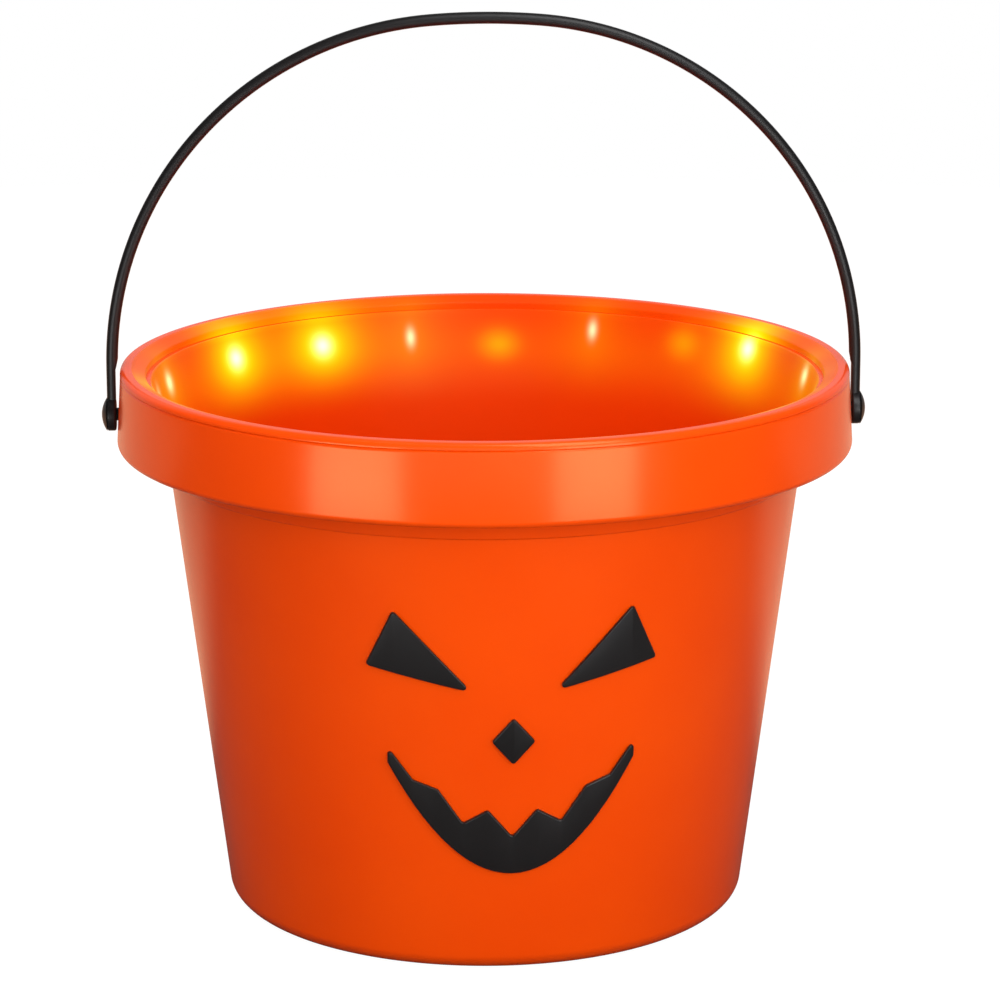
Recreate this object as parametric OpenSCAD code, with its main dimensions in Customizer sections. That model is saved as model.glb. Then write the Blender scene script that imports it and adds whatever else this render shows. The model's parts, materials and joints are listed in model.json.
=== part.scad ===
// Pumpkin candy pail with a lit rim and a swinging bail, in millimetres.
// The origin is the centre of the base, +Z is up and the face looks along -Y.
// The pieces: a tapered tub, a channel ring round its mouth that holds the lights,
// a cap that closes the ring, a bail on two snap pins, four glued face pieces,
// and a cell box behind the tub with its door, contacts, board and switch.

/* [Tub] */
// Outside diameter of the rim at its top edge
rim_d = 228; // [214:1:250]
// Height from the base to the top of the rim
pail_h = 172; // [150:1:200]
// Outside diameter that the wall's taper reaches at the base
base_d = 163; // [145:1:172]
// How far the tub's shoulder lies inside the rim's edge
shoulder_inset = 14.5; // [14:0.1:16]
// Height of the shoulder below the bottom edge of the skirt
shoulder_drop = 3.5; // [2:0.5:6]
// Thickness of the tub's wall
wall = 2; // [1.6:0.1:2.6]
// Thickness of the tub's floor
floor_t = 2.5; // [2:0.5:4]
// Outside radius where the wall turns into the base
base_fillet = 6; // [4:0.5:8]
// Radius inside the tub where the wall meets the floor
floor_fillet = 5; // [3:0.5:8]
// Height of the foot ring under the floor
foot_h = 3; // [2:0.5:5]
// Width of the foot ring's flat
foot_w = 7; // [5:0.5:12]

/* [Rim cap] */
// Width of the ring on top of the rim
ring_w = 8; // [7.6:0.1:8.6]
// Width of the ledge inside the cap's lip
ledge_w = 1.8; // [1.4:0.1:2.2]
// Height of the cap's inner lip
lip_h = 4; // [3:0.5:5]
// Thickness of the cap
cap_t = 2; // [1.6:0.1:2.4]
// Thickness of the cap's inner lip
lip_t = 1.8; // [1.2:0.1:2.4]
// Radius on the cap's outer corner
cap_corner_r = 1.9; // [0.6:0.1:1.9]
// Radius on the cap's crest
crest_r = 3; // [1:0.5:3]
// Width of the slope from the crest in to the mouth
slope_w = 3.6; // [3:0.1:3.8]
// Height of that slope
slope_h = 2; // [1.4:0.1:2.2]
// Radius between the slope and the lip
cap_edge_r = 0.9; // [0.4:0.1:1.1]
// Height of the rib that centres the cap in the skirt
rib_h = 2.5; // [1.5:0.5:3]
// Thickness of that rib
rib_t = 1.2; // [0.8:0.1:1.6]
// Thickness of the tub's top flange, which carries the cap
flange_t = 1.8; // [1.4:0.1:2.2]

/* [Channel ring] */
// Height of the skirt, from its bottom edge to the rim's top
skirt_h = 25; // [22:0.5:28]
// How much wider in radius the skirt is at its bottom edge
skirt_flare = 1.2; // [0.4:0.1:1.3]
// Thickness of the skirt
skirt_wall = 2.2; // [1.8:0.1:2.4]
// Radius on the skirt's bottom edge
skirt_fillet = 2; // [1:0.1:2.4]
// Radius on the skirt's top edge
skirt_top_r = 1.1; // [0.5:0.1:1.4]
// Thickness of the channel's floor
channel_floor_t = 2; // [1.6:0.1:2.6]
// Height of the collar under the channel's floor
collar_h = 7; // [5:0.5:10]
// Thickness of the collar
collar_t = 1.2; // [1:0.1:1.4]
// Radius on the collar's bottom edge
collar_r = 0.8; // [0.3:0.1:0.9]

/* [Bail] */
// Height of the pivots below the rim's top
pivot_drop = 15.8; // [14.5:0.1:17]
// Diameter of the bail's rod
rod_d = 3.7; // [3:0.1:4]
// Height of the bail's crown above the pivots, to the rod's middle
crown_h = 123.5; // [120:0.5:132]
// Radius of the flatter arc at the crown
crown_r = 215; // [165:5:260]
// Radius of the rounder arcs at the shoulders
bail_shoulder_r = 108; // [102:1:110]
// Gap between the rod and the rim's edge
rod_gap = 0.6; // [0.5:0.1:1.2]
// Gap between an eyelet and the skirt's bottom edge
eyelet_gap = 0.3; // [0.3:0.1:0.8]
// Diameter of the eyelets
eyelet_d = 10.4; // [9:0.2:12]
// Length of the flat on the inside of each leg, above the pivot
flat_h = 14; // [12:0.5:16]
// Length of the slope between the flat and the round rod
flat_run = 3; // [2:0.5:4]

/* [Snap pins] */
// Diameter of the pins' shanks
pin_d = 4; // [3:0.5:5]
// Diameter of the pins' heads
pin_head_d = 10.4; // [8:0.2:11]
// Height of the pins' domed heads
pin_head_h = 1.6; // [1:0.1:2.4]
// Diameter of the barb inside the skirt
barb_d = 5; // [4.6:0.1:5.2]
// Length of the barb
barb_l = 1.8; // [1.2:0.1:2]
// Width of the slot that lets the barb close
barb_slot = 0.8; // [0.5:0.1:1]

/* [Face] */
// Turn of the face to the right of the front, in degrees
face_turn = 3; // [-6:1:6]
// Thickness of the face pieces
face_t = 1.4; // [1:0.1:2]
// Width of an eye
eye_w = 31; // [24:1:34]
// Height of an eye
eye_h = 25; // [18:1:30]
// Height of the eyes' lower corners above the base
eye_z = 92; // [90:1:96]
// Distance from the face's middle to an eye's inner corner
eye_inset = 12.5; // [8:0.5:18]
// How far an eye's outer corner is raised
eye_lift = 7; // [4:0.5:9]
// Width of the nose
nose_w = 13; // [8:1:16]
// Height of the nose
nose_h = 15; // [10:1:16]
// Height of the nose's middle above the base
nose_z = 76; // [74:1:80]
// Width of the mouth
mouth_w = 74; // [60:1:84]
// Height of the mouth's corners above the base
mouth_z = 68; // [60:1:72]
// Depth of the mouth's lower edge below its corners
mouth_drop = 35; // [30:1:38]
// Depth of the mouth's upper edge below its own ends
mouth_rise = 20; // [16:1:22]
// Height of the mouth at its corners
mouth_end_h = 5; // [3:0.5:8]
// Number of teeth along the mouth's upper edge
teeth = 5; // [3:1:7]
// Length of the longest tooth
tooth_h = 8; // [5:0.5:9]
// Radius on the face pieces' corners
face_corner_r = 0.9; // [0.4:0.1:1.2]

/* [Lights] */
// Number of lights round the rim
led_count = 20; // [12:2:24]
// Turn of the first light from the right-hand pivot, in degrees
led_turn = 13; // [8:1:14]
// Height of the lights below the rim's top
led_drop = 11; // [10.5:0.1:11.5]
// Diameter of a light's dome
led_d = 3; // [2.4:0.1:3.2]
// Diameter of a light's flange
led_flange_d = 3.7; // [3.3:0.1:3.9]
// Thickness of a light's flange
led_flange_t = 0.8; // [0.5:0.1:1]
// Length of a light from its flange to its tip
led_l = 5; // [4.4:0.1:5.2]
// Gap between a light's tip and the tub's wall
led_gap = 0.4; // [0.3:0.1:0.7]
// Height of the strip that the lights sit on
strip_h = 4; // [4:0.1:4.4]
// Thickness of the strip
strip_t = 0.4; // [0.3:0.1:0.6]
// Width of the gap between the strip's ends
strip_split = 6; // [4:1:10]
// Width of the channel's posts, which carry the strip
post_w = 1.6; // [1.2:0.1:2.4]
// Width of the step that each post has under the strip
post_step = 0.8; // [0.6:0.1:1]

/* [Cell box] */
// Thickness of the box's walls
box_wall = 1.5; // [1.2:0.1:2]
// Thickness of the box's top
box_top_t = 2.6; // [2.2:0.1:3.2]
// Height of the block under the cells, which holds the door's screw
box_foot_h = 10; // [9.6:0.2:13]
// Thickness of the wall round the door screw's head
cup_wall = 1.2; // [0.8:0.1:1.3]
// Inside width of each side chamber
chamber_w = 13.6; // [13:0.2:16]
// Radius on the box's outer corners
box_corner_r = 4; // [2:0.5:5]
// Thickness of the door
door_t = 1.2; // [1:0.1:1.4]
// Width of the door's seat round the cells
door_seat = 1; // [0.8:0.1:1.2]
// Width of each tab at the door's top
tab_w = 5; // [3:0.5:6]
// Length of each tab
tab_l = 0.8; // [0.6:0.1:1]
// Diameter of the cells
cell_d = 10.5; // [10.3:0.1:10.6]
// Length of the cells, nub included
cell_l = 44.5; // [42:0.5:46]
// Diameter of the cells' nubs
nub_d = 3.8; // [3:0.1:4.5]
// Height of the cells' nubs
nub_h = 0.9; // [0.7:0.1:1.2]
// Thickness of the contact plates
plate_t = 0.4; // [0.3:0.1:0.5]
// Length of the contact springs between cell and plate
spring_l = 4.8; // [4:0.1:6]
// Diameter of the contact springs
spring_d = 6; // [5:0.5:7.5]
// Thickness of the springs' wire
spring_wire = 0.6; // [0.5:0.1:0.8]
// Turns of each spring
spring_turns = 3; // [2:1:4]

/* [Screws] */
// Diameter of the screws' shanks
screw_d = 2.5; // [2:0.1:2.8]
// Diameter of the screws' heads
screw_head_d = 4.8; // [4.2:0.1:5]
// Height of the screws' heads
screw_head_h = 1.6; // [1.2:0.1:1.7]
// Length of the box screws under the head
box_screw_l = 9.5; // [7:0.5:11]
// Length of the door screw under the head
door_screw_l = 7; // [5:0.5:9]
// Diameter of the bosses that the screws bite in
boss_d = 6; // [5.4:0.1:6.4]
// Width of the cross cut in the heads
cross_w = 0.7; // [0.5:0.1:0.8]

/* [Switch and board] */
// Length of the circuit board
board_l = 34; // [32:1:36]
// Thickness of the circuit board
board_t = 1.2; // [0.8:0.1:1.6]
// Height of the posts between the box's back and the board
board_post_h = 5.6; // [5.2:0.1:6]
// Diameter of those posts
board_post_d = 3; // [2.6:0.1:3.4]
// Diameter of the pegs that pass through the board
peg_d = 1.4; // [1:0.1:1.6]
// Width of the switch's case
switch_w = 4; // [3.6:0.1:5]
// Height of the switch's case
switch_h = 9; // [8.6:0.1:10]
// Travel of the knob
knob_travel = 3; // [2:0.1:3.2]
// Width of the knob
knob_w = 3.6; // [3:0.1:4]
// Height of the knob
knob_h = 4; // [3:0.1:4.4]
// Thickness of the knob's stem
stem_w = 1.6; // [1.2:0.1:2]
// Height of the knob above the box's wall
knob_proud = 1.5; // [1:0.1:1.7]
// Depth of the grooves across the knob
knob_groove = 0.3; // [0.2:0.1:0.5]
// Depth of the dish that shields the knob
dish_depth = 1.8; // [1.8:0.1:2.2]
// Width of the control chip
chip_w = 5; // [4:0.5:7]
// Thickness of the wires
wire_d = 1.2; // [1:0.1:1.4]

/* [Fits] */
// Gap between faces that seat on the tub's cone
seat_gap = 0.15; // [0.1:0.05:0.25]
// Gap between snug pieces that are fitted by hand
snug_gap = 0.15; // [0.1:0.05:0.25]
// Gap round a shank that turns or is pressed home
bore_gap = 0.05; // [0.02:0.01:0.08]
// Thickness of the glue under the face pieces
glue_t = 0.1; // [0.05:0.05:0.2]
// Gap round the cells
cell_gap = 0.2; // [0.1:0.05:0.3]

/* [Hidden] */

$fn = 96;
overrun = 1;
arc_steps = 6;
corner_share = 0.45;
cap_corner_share = 0.95;
smooth_turn = 12;
mouth_steps = 28;
rod_sides = 32;
wire_sides = 8;
spring_sides = 6;
spring_steps = 16;
knob_ribs = 3;
orange = [0.96, 0.33, 0.03];
black = [0.05, 0.05, 0.06];

rim_r = rim_d / 2;
base_r = base_d / 2;
ring_in_r = rim_r - ring_w;
mouth_r = ring_in_r - ledge_w;
tub_top_z = pail_h - lip_h;
skirt_z = pail_h - skirt_h;
skirt_r = rim_r + skirt_flare;
cap_z = pail_h - cap_t;
channel_z = skirt_z + channel_floor_t;
shoulder_r = rim_r - shoulder_inset;
shoulder_z = skirt_z - shoulder_drop;
collar_z = skirt_z - collar_h;
taper = (shoulder_r - base_r) / shoulder_z;
flare_r = mouth_r + wall;
flare_z = tub_top_z - flange_t;
flare = (flare_r - shoulder_r) / (flare_z - shoulder_z);
flange_r = ring_in_r + lip_t + snug_gap;
floor_z = foot_h + floor_t;
neck_r = tub_out_r(skirt_z) + seat_gap + collar_t;

pivot_z = pail_h - pivot_drop;
eyelet_x = skirt_r + eyelet_gap;
rod_x = rim_r + rod_gap + rod_d / 2;
eyelet_out_x = rod_x + rod_d / 2;
head_x = eyelet_out_x + 2 * bore_gap;
crown_turn = asin((rod_x - bail_shoulder_r) / (crown_r - bail_shoulder_r));
bail_shoulder_h = crown_h - crown_r + (crown_r - bail_shoulder_r) * cos(crown_turn);

led_z = pail_h - led_drop;
led_tip_r = tub_out_r(led_z) + led_gap;
strip_in_r = led_tip_r + led_l + 2 * bore_gap;
strip_r = strip_in_r + strip_t;
split_turn = atan(strip_split / strip_r);
strip_z = led_z - strip_h / 2;
led_step = 360 / led_count;
post_turn = led_turn + led_step / 2;

pocket_w = 2 * cell_d + 3 * cell_gap;
pocket_h = cell_l + spring_l + 2 * plate_t;
pocket_z = skirt_z - box_top_t - pocket_h;
box_z = pocket_z - box_foot_h;
box_back_y = skirt_r - seat_gap;
door_y = box_back_y - door_t;
cell_y = door_y - cell_gap / 2 - cell_d / 2;
pocket_y = cell_y - cell_d / 2 - cell_gap;
pocket_front_y = pocket_y - box_wall;
box_half_w = pocket_w / 2 + 2 * box_wall + chamber_w;
chamber_x = pocket_w / 2 + box_wall;
cell_x = cell_d / 2 + cell_gap / 2;
boss_x = chamber_x + 2 * box_wall + boss_d / 2;
boss_y = neck_r + seat_gap + boss_d / 2;
boss_z = channel_z - box_screw_l - 2 * box_wall;
door_w = pocket_w + 2 * door_seat;
door_z = box_z + box_wall;
door_h = skirt_z - box_top_t + door_seat - door_z;
door_screw_z = (door_z + pocket_z) / 2;
cup_d = screw_head_d + 2 * cup_wall;
cup_depth = screw_head_h + cup_wall;

dish_y = box_back_y - dish_depth;
chamber_back_y = dish_y - box_wall;
board_y = chamber_back_y - board_post_h - board_t;
board_x = chamber_x + chamber_w / 2;
board_w = chamber_w - 2 * wire_d;
board_z = pocket_z + box_wall;
switch_z = board_z + board_l / 2;
slot_h = stem_w + knob_travel + 2 * snug_gap;
dish_w = knob_w + 2 * box_wall;
dish_h = knob_h + knob_travel + 2 * box_wall;
knob_rest = knob_travel / 2;
wire_hole_d = 3 * wire_d;
wire_x = chamber_x + chamber_w - box_wall - wire_d;
wire_y = neck_r + seat_gap + wire_hole_d / 2;
notch_z = collar_z - 3 * wire_d;
notch_y = (tub_out_r(notch_z) + seat_gap + pocket_front_y) / 2;

function unit(v) = v / norm(v);

// Points of an arc about a centre, from one angle to another.
function arc(centre, r, from, to) =
    [for (i = [0:arc_steps]) centre + r * [cos(from + (to - from) * i / arc_steps),
        sin(from + (to - from) * i / arc_steps)]];

// Short turn between two angles, always less than half a circle.
function short_turn(a) = a > 180 ? a - 360 : a < -180 ? a + 360 : a;

// One corner of an outline, replaced by an arc that touches both of its sides.
// Where the outline hardly turns, the corner stays a point.
function rounded_corner(before, at, after, r) =
    let (
        u = unit(before - at),
        v = unit(after - at),
        half = acos(u * v) / 2
    )
    180 - 2 * half < smooth_turn ? [at] :
    let (
        fit_r = min(r, corner_share * tan(half) * min(norm(before - at), norm(after - at))),
        centre = at + unit(u + v) * fit_r / sin(half),
        from = at + u * fit_r / tan(half) - centre,
        to = at + v * fit_r / tan(half) - centre,
        first = atan2(from.y, from.x)
    )
    arc(centre, fit_r, first, first + short_turn(atan2(to.y, to.x) - first));

function rounded(points, r) =
    let (n = len(points))
    [for (i = [0:n - 1])
        each rounded_corner(points[(i + n - 1) % n], points[i], points[(i + 1) % n], r)];

function box_points(w, h, r) =
    rounded([[-w / 2, -h / 2], [w / 2, -h / 2], [w / 2, h / 2], [-w / 2, h / 2]], r);

// Outside radius of the tub's wall at a height.
function tub_out_r(z) =
    z < shoulder_z ? base_r + taper * z : shoulder_r + flare * (z - shoulder_z);

// Outside radius of the skirt at a height.
function skirt_out_r(z) = rim_r + skirt_flare * (cap_z - z) / (cap_z - skirt_z);

module turned(points) {
    rotate_extrude()
        polygon(points);
}

// A cylinder along +X from one place to another.
module x_cylinder(from, to, d) {
    translate([from, 0, 0])
        rotate([0, 90, 0])
            cylinder(h = to - from, d = d);
}

// The tub's outside with its wall moved out, to cut a seat in what leans on it.
module tub_blank(grow) {
    turned([[0, -overrun], [base_r + grow - taper * overrun, -overrun], [shoulder_r + grow, shoulder_z],
        [flare_r + grow, flare_z], [0, flare_z]]);
}

// Distance from the axis of a fillet's centre, where it touches the taper's line.
function fillet_x(line_x, r) = line_x - r * sqrt(1 + taper * taper);

module tub() {
    lean = atan(taper);
    out_x = fillet_x(base_r + taper * base_fillet, base_fillet);
    in_x = fillet_x(base_r - wall + taper * (floor_z + floor_fillet), floor_fillet);
    foot_in_r = out_x - foot_w;
    color(orange)
        turned([
            each arc([out_x, base_fillet], base_fillet, -90, -lean),
            [shoulder_r, shoulder_z],
            [flare_r, flare_z],
            [flange_r, flare_z],
            [flange_r, tub_top_z],
            [mouth_r, tub_top_z],
            [shoulder_r - wall, shoulder_z],
            each arc([in_x, floor_z + floor_fillet], floor_fillet, -lean, -90),
            [0, floor_z],
            [0, foot_h],
            [foot_in_r, foot_h],
            [foot_in_r, 0]
        ]);
}

module rim_cap() {
    rib_r = rim_r - skirt_wall - snug_gap;
    corner_r = min(cap_corner_r, cap_corner_share * cap_t);
    lip_foot = [ring_in_r, tub_top_z];
    lip_edge = [ring_in_r, pail_h - slope_h];
    crest = [ring_in_r + slope_w, pail_h];
    color(orange)
        turned([
            lip_foot,
            each rounded_corner(lip_foot, lip_edge, crest, cap_edge_r),
            each rounded_corner(lip_edge, crest, [rim_r - corner_r, pail_h], crest_r),
            each arc([rim_r - corner_r, pail_h - corner_r], corner_r, 90, 0),
            [rim_r, cap_z],
            [rib_r, cap_z],
            [rib_r, cap_z - rib_h],
            [rib_r - rib_t, cap_z - rib_h],
            [rib_r - rib_t, cap_z],
            [ring_in_r + lip_t, cap_z],
            [ring_in_r + lip_t, tub_top_z]
        ]);
}

module channel_profile() {
    collar_in_r = tub_out_r(collar_z) + seat_gap;
    channel_in_r = tub_out_r(channel_z) + seat_gap;
    turned([
        [collar_in_r, collar_z],
        each arc([collar_in_r + collar_t - collar_r, collar_z + collar_r], collar_r, -90, 0),
        [neck_r, skirt_z],
        each arc([skirt_r - skirt_fillet, skirt_z + skirt_fillet], skirt_fillet, -90, 0),
        each arc([rim_r - skirt_top_r, cap_z - skirt_top_r], skirt_top_r, 0, 90),
        [rim_r - skirt_wall, cap_z],
        [skirt_r - skirt_wall, channel_z],
        [channel_in_r, channel_z],
        [shoulder_r + seat_gap, shoulder_z]
    ]);
}

// A post on the channel's floor: the strip stands on its step, against its back.
module strip_post() {
    reach = skirt_out_r(led_z) - skirt_wall / 2;
    translate([strip_r + bore_gap, -post_w / 2, channel_z - overrun])
        cube([reach - strip_r, post_w, strip_z + strip_h - channel_z + overrun]);
    translate([strip_in_r - post_step, -post_w / 2, channel_z - overrun])
        cube([reach - strip_in_r + post_step, post_w, strip_z - channel_z + overrun]);
}

module channel_ring() {
    color(orange)
        difference() {
            union() {
                channel_profile();
                for (i = [0:led_count / 2 - 1])
                    rotate([0, 0, post_turn + 2 * led_step * i])
                        strip_post();
            }
            for (side = [-1, 1])
                translate([0, 0, pivot_z])
                    x_cylinder(side * skirt_r - rod_d, side * skirt_r + rod_d, pin_d + 2 * bore_gap);
            for (side = [-1, 1])
                translate([side * boss_x, boss_y, skirt_z - overrun])
                    cylinder(h = channel_floor_t + 2 * overrun, d = screw_d + 2 * snug_gap);
            translate([wire_x, wire_y, skirt_z - overrun])
                cylinder(h = channel_floor_t + 2 * overrun, d = wire_hole_d);
        }
}

module bail_arc(r, height, x, from, turn) {
    translate([x, 0, height])
        rotate([90, 0, 0])
            rotate([0, 0, from])
                rotate_extrude(angle = turn)
                    translate([r, 0])
                        circle(d = rod_d, $fn = rod_sides);
}

// A slightly fuller ball where the crown's arc meets a shoulder's arc.
module bail_knuckle(side) {
    translate([0, 0, crown_h - crown_r])
        rotate([0, side * crown_turn, 0])
            translate([0, 0, crown_r])
                sphere(d = rod_d + 2 * bore_gap, $fn = rod_sides);
}

// One leg of the bail on +X: a shoulder arc, the straight end and its eyelet.
module bail_leg() {
    bail_arc(bail_shoulder_r, bail_shoulder_h, rod_x - bail_shoulder_r, 0, 90 - crown_turn);
    difference() {
        translate([rod_x, 0, 0])
            cylinder(h = bail_shoulder_h, d = rod_d, $fn = rod_sides);
        rotate([90, 0, 0])
            translate([0, 0, -rod_d])
                linear_extrude(2 * rod_d)
                    polygon([[rim_r, -rod_d], [eyelet_x, -rod_d], [eyelet_x, flat_h],
                        [rod_x - rod_d / 2, flat_h + flat_run], [rim_r, flat_h + flat_run]]);
    }
    x_cylinder(eyelet_x, eyelet_out_x, eyelet_d);
}

module bail() {
    color(black)
        translate([0, 0, pivot_z])
            difference() {
                union() {
                    bail_arc(crown_r, crown_h - crown_r, 0, 90 - crown_turn, 2 * crown_turn);
                    bail_leg();
                    mirror([1, 0, 0])
                        bail_leg();
                    for (side = [-1, 1])
                        bail_knuckle(side);
                }
                for (side = [-1, 1])
                    x_cylinder(side * rod_x - 2 * rod_d, side * rod_x + 2 * rod_d, pin_d + 2 * bore_gap);
            }
}

// A snap pin on +X: domed head outside the eyelet, barb inside the skirt.
module snap_pin() {
    barb_x = skirt_out_r(pivot_z) - skirt_wall - 2 * snug_gap;
    tip_x = barb_x - barb_l;
    dome_r = (pow(pin_head_d / 2, 2) + pow(pin_head_h, 2)) / (2 * pin_head_h);
    dome_turn = asin(pin_head_d / 2 / dome_r);
    color(black)
        translate([0, 0, pivot_z])
            difference() {
                rotate([0, 90, 0])
                    turned([
                        [0, tip_x],
                        [pin_d / 2 - barb_slot / 2, tip_x],
                        [barb_d / 2, barb_x - barb_slot],
                        [barb_d / 2, barb_x],
                        [pin_d / 2, barb_x],
                        [pin_d / 2, head_x],
                        [pin_head_d / 2, head_x],
                        each arc([0, head_x + pin_head_h - dome_r], dome_r, 90 - dome_turn, 90)
                    ]);
                translate([tip_x - overrun, -barb_slot / 2, -barb_d])
                    cube([barb_l + skirt_wall / 2 + overrun, barb_slot, 2 * barb_d]);
            }
}

module bail_pin_right() {
    snap_pin();
}

module bail_pin_left() {
    mirror([1, 0, 0])
        snap_pin();
}

// A face piece: an outline seen from the front, laid round the tub's cone.
module face_piece(points) {
    color(black)
        rotate([0, 0, face_turn])
            intersection() {
                difference() {
                    tub_blank(glue_t + face_t);
                    tub_blank(glue_t);
                }
                rotate([90, 0, 0])
                    linear_extrude(rim_r)
                        polygon(rounded(points, face_corner_r));
            }
}

// The right eye as the viewer sees it: a triangle that slants up and outwards.
function eye_points(side) = [
    [side * eye_inset, eye_z],
    [side * (eye_inset + eye_w), eye_z + eye_lift],
    [side * (eye_inset + 3 * eye_w / 4), eye_z + eye_h]
];

module left_eye() {
    face_piece(eye_points(-1));
}

module right_eye() {
    face_piece(eye_points(1));
}

module nose() {
    face_piece([[0, nose_z - nose_h / 2], [nose_w / 2, nose_z], [0, nose_z + nose_h / 2],
        [-nose_w / 2, nose_z]]);
}

// How far a curve of the mouth sags at a place, as a share of its sag in the middle.
function sag_share(x) = 1 - pow(2 * x / mouth_w, 2);

module mouth() {
    bites = 2 * teeth;
    top_z = mouth_z + mouth_end_h;
    face_piece([
        for (i = [0:mouth_steps])
            let (x = mouth_w * (i / mouth_steps - 1 / 2)) [x, mouth_z - mouth_drop * sag_share(x)],
        for (i = [0:bites])
            let (x = mouth_w * (1 / 2 - i / bites), bite = i % 2 == 1 ? tooth_h : 0)
            [x, top_z - (mouth_rise + bite) * sag_share(x)]
    ]);
}

module light_strip() {
    color("ivory")
        translate([0, 0, strip_z])
            rotate([0, 0, atan2(wire_y, wire_x) + split_turn / 2])
                rotate_extrude(angle = 360 - split_turn)
                    translate([strip_in_r, 0])
                        square([strip_t, strip_h]);
}

module leds() {
    color("gold")
        for (i = [0:led_count - 1])
            rotate([0, 0, led_turn + led_step * i])
                translate([strip_in_r - 2 * bore_gap, 0, led_z])
                    rotate([0, -90, 0])
                        turned([
                            [0, 0],
                            [led_flange_d / 2, 0],
                            [led_flange_d / 2, led_flange_t],
                            [led_d / 2, led_flange_t],
                            each arc([0, led_l - led_d / 2], led_d / 2, 0, 90)
                        ]);
}

// A hollow of the box: it is open to the tub and closed by the box's other walls.
module front_hollow(from_x, to_x, back_y) {
    translate([from_x, 0, box_z + box_wall])
        cube([to_x - from_x, back_y, skirt_z - box_top_t - box_z - box_wall]);
}

module cell_box_shell() {
    difference() {
        translate([0, box_back_y / 2, box_z])
            linear_extrude(skirt_z - box_z)
                polygon(box_points(2 * box_half_w, box_back_y, box_corner_r));
        tub_blank(seat_gap);
        translate([0, 0, collar_z - seat_gap])
            cylinder(h = skirt_h, r = neck_r + seat_gap);
        front_hollow(chamber_x, chamber_x + chamber_w, chamber_back_y);
        front_hollow(-chamber_x - chamber_w, -chamber_x, box_back_y - box_wall);
        front_hollow(-pocket_w / 2, pocket_w / 2, pocket_front_y);
        translate([-chamber_x - overrun, 0, notch_z - wire_d])
            cube([2 * (chamber_x + overrun), notch_y + wire_d, 2 * wire_d]);
    }
}

module cell_box() {
    color(orange)
        difference() {
            union() {
                difference() {
                    cell_box_shell();
                    translate([-pocket_w / 2, pocket_y, pocket_z])
                        cube([pocket_w, box_back_y, pocket_h]);
                }
                for (side = [-1, 1])
                    translate([side * boss_x, boss_y, boss_z])
                        cylinder(h = skirt_z - box_top_t / 2 - boss_z, d = boss_d);
                for (end = [board_post_d, board_l - board_post_d])
                    translate([board_x, board_y, board_z + end])
                        board_post();
            }
            for (side = [-1, 1])
                translate([side * boss_x, boss_y, boss_z + box_wall])
                    cylinder(h = skirt_z - boss_z, d = screw_d + 2 * bore_gap);
            translate([wire_x, wire_y, skirt_z - box_top_t - overrun])
                cylinder(h = box_top_t + 2 * overrun, d = wire_hole_d);
            door_blank(snug_gap);
            translate([0, door_y + overrun, door_screw_z])
                rotate([90, 0, 0])
                    cylinder(h = cup_depth + door_screw_l, d = screw_d + 2 * bore_gap);
            switch_cuts();
            for (side = [-1, 1])
                plate_tab(side, snug_gap);
        }
}

// A post from the box's back wall, with a peg that passes through the board.
module board_post() {
    rotate([-90, 0, 0]) {
        translate([0, 0, board_t])
            cylinder(h = board_post_h + box_wall / 2, d = board_post_d);
        translate([0, 0, -board_t / 2])
            cylinder(h = board_post_h, d = peg_d);
    }
}

// The dish and the slot that the switch's knob works in.
module switch_cuts() {
    translate([board_x - dish_w / 2, dish_y, switch_z - dish_h / 2])
        cube([dish_w, dish_depth + overrun, dish_h]);
    translate([board_x - stem_w / 2 - snug_gap, chamber_back_y - overrun, switch_z - slot_h / 2])
        cube([stem_w + 2 * snug_gap, box_wall + 2 * overrun, slot_h]);
}

// The door's outline: a plate, its two tabs and the cup for the screw's head.
module door_blank(grow) {
    translate([-door_w / 2 - grow, door_y - grow, door_z - grow])
        cube([door_w + 2 * grow, door_t + grow + overrun, door_h + 2 * grow]);
    for (side = [-1, 1])
        translate([side * door_w / 4 - tab_w / 2 - grow, door_y - grow, door_z + door_h - overrun])
            cube([tab_w + 2 * grow, door_t / 2 + 2 * grow, tab_l + overrun + grow]);
    translate([0, door_y + door_t, door_screw_z])
        rotate([90, 0, 0])
            cylinder(h = cup_depth + grow, d = cup_d + 2 * grow);
}

module cell_door() {
    color(orange)
        difference() {
            intersection() {
                door_blank(0);
                translate([-rim_r, 0, 0])
                    cube([2 * rim_r, box_back_y, pail_h]);
            }
            translate([0, box_back_y + overrun, door_screw_z])
                rotate([90, 0, 0]) {
                    cylinder(h = screw_head_h + snug_gap + overrun, d = screw_head_d + 2 * snug_gap);
                    cylinder(h = cup_depth + 2 * overrun, d = screw_d + 2 * snug_gap);
                }
        }
}

// A screw along -Z, its head's underside at zero.
module screw(l) {
    difference() {
        turned([[0, -l], [screw_d / 4, -l], [screw_d / 2, screw_d / 2 - l], [screw_d / 2, 0],
            [screw_head_d / 2, 0], [screw_head_d / 2, screw_head_h / 2],
            each arc([screw_head_d / 2 - screw_head_h / 2, screw_head_h / 2], screw_head_h / 2, 0, 90),
            [0, screw_head_h]]);
        for (turn = [0, 90])
            rotate([0, 0, turn])
                translate([-screw_d / 2, -cross_w / 2, screw_head_h / 2])
                    cube([screw_d, cross_w, screw_head_h]);
    }
}

module box_screws() {
    color("silver")
        for (side = [-1, 1])
            translate([side * boss_x, boss_y, channel_z])
                screw(box_screw_l);
}

module door_screw() {
    color("silver")
        translate([0, box_back_y - screw_head_h - snug_gap, door_screw_z])
            rotate([-90, 0, 0])
                screw(door_screw_l);
}

// One cell with its nub up, its underside at zero.
module cell() {
    cylinder(h = cell_l - nub_h, d = cell_d);
    translate([0, 0, cell_l - nub_h])
        cylinder(h = nub_h, d = nub_d);
}

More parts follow.
